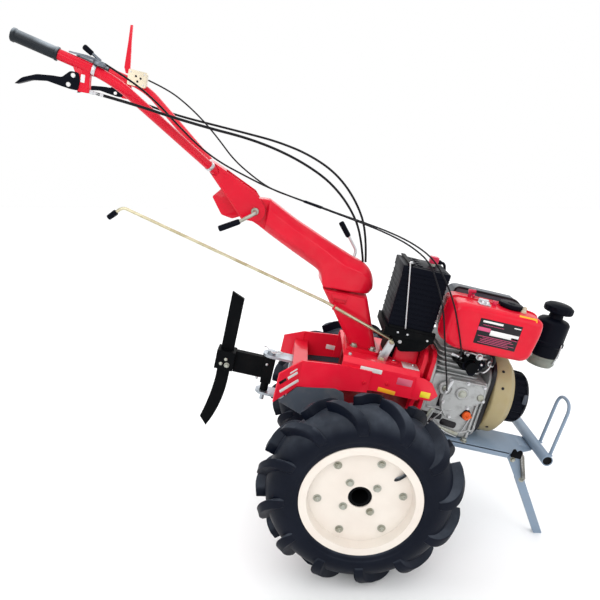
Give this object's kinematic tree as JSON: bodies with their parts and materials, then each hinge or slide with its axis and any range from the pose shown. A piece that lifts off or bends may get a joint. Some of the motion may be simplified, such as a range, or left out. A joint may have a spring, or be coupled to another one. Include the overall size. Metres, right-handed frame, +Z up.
{
  "type": "walking tractor",
  "caption": "Two-wheeled walk-behind tractor with a diesel engine, lugged tyres, a swivelling and tilting handlebar, a folding front stand and a rear tool hitch.",
  "frame": {"origin": "on the floor under the middle of the machine's length and width, as it stands on its wheels and front stand", "axes": "+X forward, from the handlebar to the engine; +Y to the machine's left, along the wheel axle; +Z up from the floor"},
  "size_m": [1.5246, 0.748, 1.5436],
  "materials": {
    "black_plastic": "matte",
    "black_steel": "satin",
    "cast_aluminium": "cast",
    "cream_paint": "satin",
    "dark_red_paint": "satin",
    "gold_paint": "satin",
    "grey_paint": "satin",
    "grey_sheet": "satin",
    "grip_rubber": "matte",
    "red_paint": "gloss",
    "tyre_rubber": "matte",
    "wheel_paint": "satin",
    "zinc_steel": "satin"
  },
  "bodies": {
    "root": {"air_cleaner": "black_plastic", "battery": "black_plastic", "battery_tray": "black_steel", "bell_housing": "red_paint", "body_cover": "red_paint", "bumper_bar": "grey_paint", "bumper_loop": "grey_paint", "clutch_cables": "black_plastic", "control_cables": "black_plastic", "cylinder_head": "cast_aluminium", "depth_bar": "black_steel", "engine_base": "grey_paint", "engine_block": "cast_aluminium", "fan_housing": "gold_paint", "fuel_cap": "black_plastic", "fuel_tank": "red_paint", "gearbox_case": "dark_red_paint", "hitch_clevis": "zinc_steel", "hitch_frame": "red_paint", "hitch_pin": "zinc_steel", "injection_pump": "black_steel", "intake_elbow": "cast_aluminium", "mudguards": "grey_sheet", "muffler_cover": "grey_sheet", "recoil_starter": "black_plastic", "shift_arm": "zinc_steel", "shift_rod": "zinc_steel", "side_plates": "red_paint", "stand_spring": "zinc_steel", "steering_column": "red_paint", "tine_holder": "black_steel"},
    "wheel_right": {"hub_right": "black_steel", "rim_right": "wheel_paint", "tyre_right": "tyre_rubber"},
    "wheel_left": {"hub_left": "black_steel", "rim_left": "wheel_paint", "tyre_left": "tyre_rubber"},
    "beam": {"lock_sector": "red_paint", "steering_beam": "red_paint", "swivel_lock_lever": "black_plastic"},
    "handlebar": {"clutch_levers": "black_plastic", "control_box": "cream_paint", "grips": "grip_rubber", "handle_tubes": "red_paint", "handlebar_neck": "red_paint", "height_lock_lever": "zinc_steel", "lever_brackets": "red_paint", "stop_lever": "red_paint", "throttle_lever": "zinc_steel"},
    "stand": {"front_stand": "grey_paint"}
  },
  "joints": [
    {"name": "wheel_right_spin", "type": "hinge", "parent": "root", "child": "wheel_right", "pos_m": [0.0827, -0.2994, 0.29], "axis": [0, 1, 0], "continuous": true},
    {"name": "wheel_left_spin", "type": "hinge", "parent": "root", "child": "wheel_left", "pos_m": [0.0827, 0.3066, 0.29], "axis": [0, 1, 0], "continuous": true},
    {"name": "handlebar_swivel", "type": "hinge", "parent": "root", "child": "beam", "pos_m": [0.04677, 0.0036, 0.78784], "axis": [0.225, 0, 0.9744], "range_deg": [-37, 23], "deforming": ["clutch_cables", "control_cables"]},
    {"name": "handlebar_height", "type": "hinge", "parent": "beam", "child": "handlebar", "pos_m": [-0.21738, -0.03479, 1.03356], "axis": [-0.1187, 0.9925, 0.0274], "range_deg": [-20, 15], "deforming": ["clutch_cables", "control_cables"]},
    {"name": "stand_fold", "type": "hinge", "parent": "root", "child": "stand", "pos_m": [0.57499, -0.1024, 0.27077], "axis": [0, 1, 0], "range_deg": [0, 105], "deforming": ["stand_spring"]}
  ]
}
